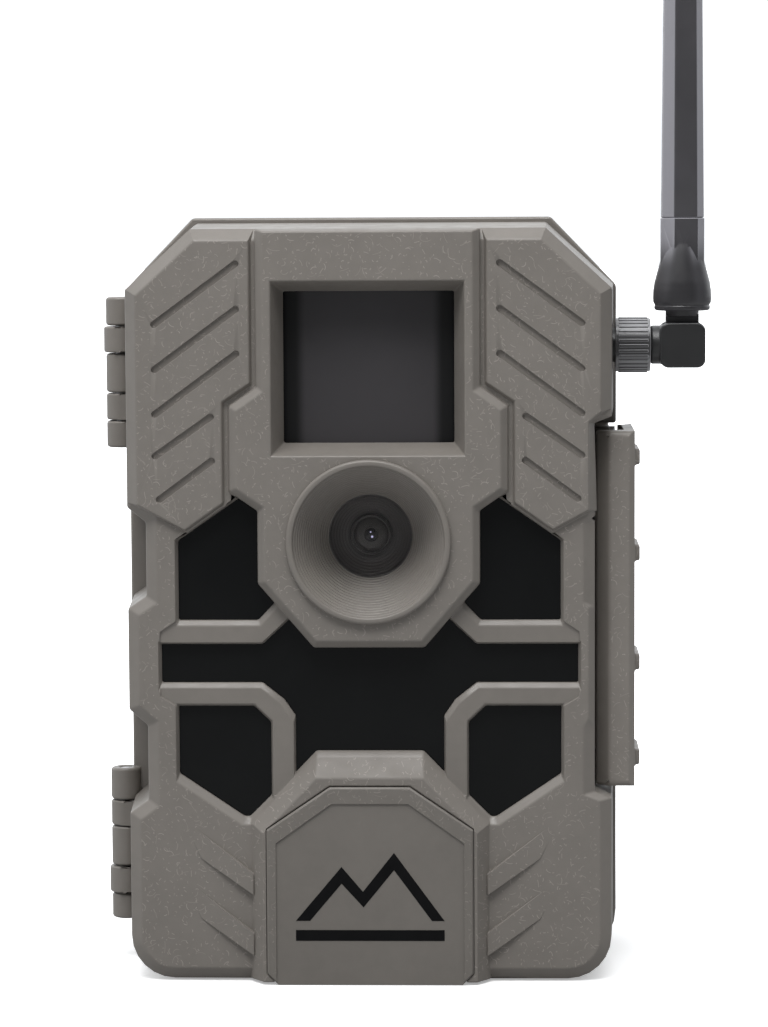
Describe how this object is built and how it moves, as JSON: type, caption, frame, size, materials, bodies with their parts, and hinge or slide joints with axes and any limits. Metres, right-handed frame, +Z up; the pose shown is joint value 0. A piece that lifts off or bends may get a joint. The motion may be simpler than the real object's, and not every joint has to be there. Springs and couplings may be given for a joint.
{
  "type": "trail camera",
  "caption": "Weatherproof trail camera: strap-on rear case, hinged front door with lens, motion sensor and infrared panel, side latch, and a swivel antenna that tilts.",
  "frame": {"origin": "mouth of the tripod socket, in the middle of the flat underside", "axes": "+Z up along the case, the camera looks along -Y, +X towards the latch and antenna side"},
  "size_m": [0.1129, 0.0636, 0.2765],
  "materials": {
    "case_plastic": "fine moulded grain",
    "smooth_plastic": "smooth satin",
    "badge_plastic": "fine satin",
    "dark_window": "polished, passes infrared",
    "sensor_film": "milky dark film",
    "lens_glass": "coated",
    "black_plastic": "moulded",
    "panel_plastic": "fine moulded grain",
    "antenna_plastic": "satin",
    "seal_rubber": "soft",
    "steel": "plated",
    "brass": "turned",
    "board": "lacquered",
    "led_resin": "tinted",
    "cell_wrap": "shrink film",
    "button_rubber": "moulded",
    "ok_rubber": "moulded",
    "knob_plastic": "moulded",
    "display": "polished",
    "card_plastic": "fine"
  },
  "bodies": {
    "rear": {"rear_case": "case_plastic", "gasket": "seal_rubber", "tripod_insert": "brass", "strap_bracket": "case_plastic", "bracket_screws": "steel", "battery_tray": "panel_plastic", "tray_screws": "steel", "battery_cells": "cell_wrap", "battery_springs": "steel", "battery_contacts": "steel", "power_pads": "brass", "dc_jack": "black_plastic", "hinge_pins": "steel", "latch_pin": "steel"},
    "jack_flap": {"dc_jack_plug": "seal_rubber"},
    "latch": {"latch_lever": "case_plastic"},
    "door": {"front_cover": "case_plastic", "ir_window": "dark_window", "led_board": "board", "ir_leds": "led_resin", "motion_lens": "sensor_film", "motion_sensor": "steel", "lens_bezel": "smooth_plastic", "lens_glass": "lens_glass", "lens_barrel": "black_plastic", "sensor_board": "board", "main_board": "board", "modem_module": "steel", "inner_panel": "panel_plastic", "panel_screws": "steel", "display_module": "black_plastic", "display_window": "display", "tact_switches": "steel", "card_slot": "steel", "power_pins": "brass", "badge_plate": "badge_plastic", "antenna_socket": "brass"},
    "ok_key": {"ok_button": "ok_rubber"},
    "up_key": {"up_button": "button_rubber"},
    "down_key": {"down_button": "button_rubber"},
    "left_key": {"left_button": "button_rubber"},
    "right_key": {"right_button": "button_rubber"},
    "mode_knob": {"mode_switch": "knob_plastic"},
    "card": {"memory_card": "card_plastic"},
    "coupling_nut": {"antenna_nut": "antenna_plastic"},
    "elbow": {"antenna_elbow": "antenna_plastic", "antenna_pin": "steel"},
    "whip": {"antenna_sleeve": "antenna_plastic", "antenna_whip": "antenna_plastic"}
  },
  "joints": [
    {"name": "door_hinge", "type": "hinge", "parent": "rear", "child": "door", "pos_m": [-0.047, -0.013, 0.07], "axis": [0, 0, -1], "range_deg": [0, 110]},
    {"name": "latch_turn", "type": "hinge", "parent": "rear", "child": "latch", "pos_m": [0.0446, -0.0065, 0.07], "axis": [0, 0, 1], "range_deg": [0, 95]},
    {"name": "jack_flap_hinge", "type": "hinge", "parent": "rear", "child": "jack_flap", "pos_m": [0.0188, 0, 0.001], "axis": [0, 1, 0], "range_deg": [0, 90]},
    {"name": "ok_press", "type": "slide", "parent": "door", "child": "ok_key", "axis": [0, -1, 0], "range_m": [0, 0.0005], "stiffness_N_per_m": 400},
    {"name": "up_press", "type": "slide", "parent": "door", "child": "up_key", "axis": [0, -1, 0], "range_m": [0, 0.0005], "stiffness_N_per_m": 400},
    {"name": "down_press", "type": "slide", "parent": "door", "child": "down_key", "axis": [0, -1, 0], "range_m": [0, 0.0005], "stiffness_N_per_m": 400},
    {"name": "left_press", "type": "slide", "parent": "door", "child": "left_key", "axis": [0, -1, 0], "range_m": [0, 0.0005], "stiffness_N_per_m": 400},
    {"name": "right_press", "type": "slide", "parent": "door", "child": "right_key", "axis": [0, -1, 0], "range_m": [0, 0.0005], "stiffness_N_per_m": 400},
    {"name": "mode_slide", "type": "slide", "parent": "door", "child": "mode_knob", "axis": [1, 0, 0], "range_m": [0, 0.006]},
    {"name": "card_eject", "type": "slide", "parent": "door", "child": "card", "axis": [0, 0, -1], "range_m": [0, 0.01]},
    {"name": "antenna_nut_spin", "type": "hinge", "parent": "door", "child": "coupling_nut", "pos_m": [0.048, -0.022, 0.1165], "axis": [1, 0, 0], "continuous": true},
    {"name": "antenna_swivel", "type": "hinge", "parent": "door", "child": "elbow", "pos_m": [0.0574, -0.022, 0.1165], "axis": [1, 0, 0], "range_deg": [-180, 180]},
    {"name": "antenna_tilt", "type": "hinge", "parent": "elbow", "child": "whip", "pos_m": [0.0574, -0.022, 0.1165], "axis": [0, 1, 0], "range_deg": [0, 90]}
  ]
}
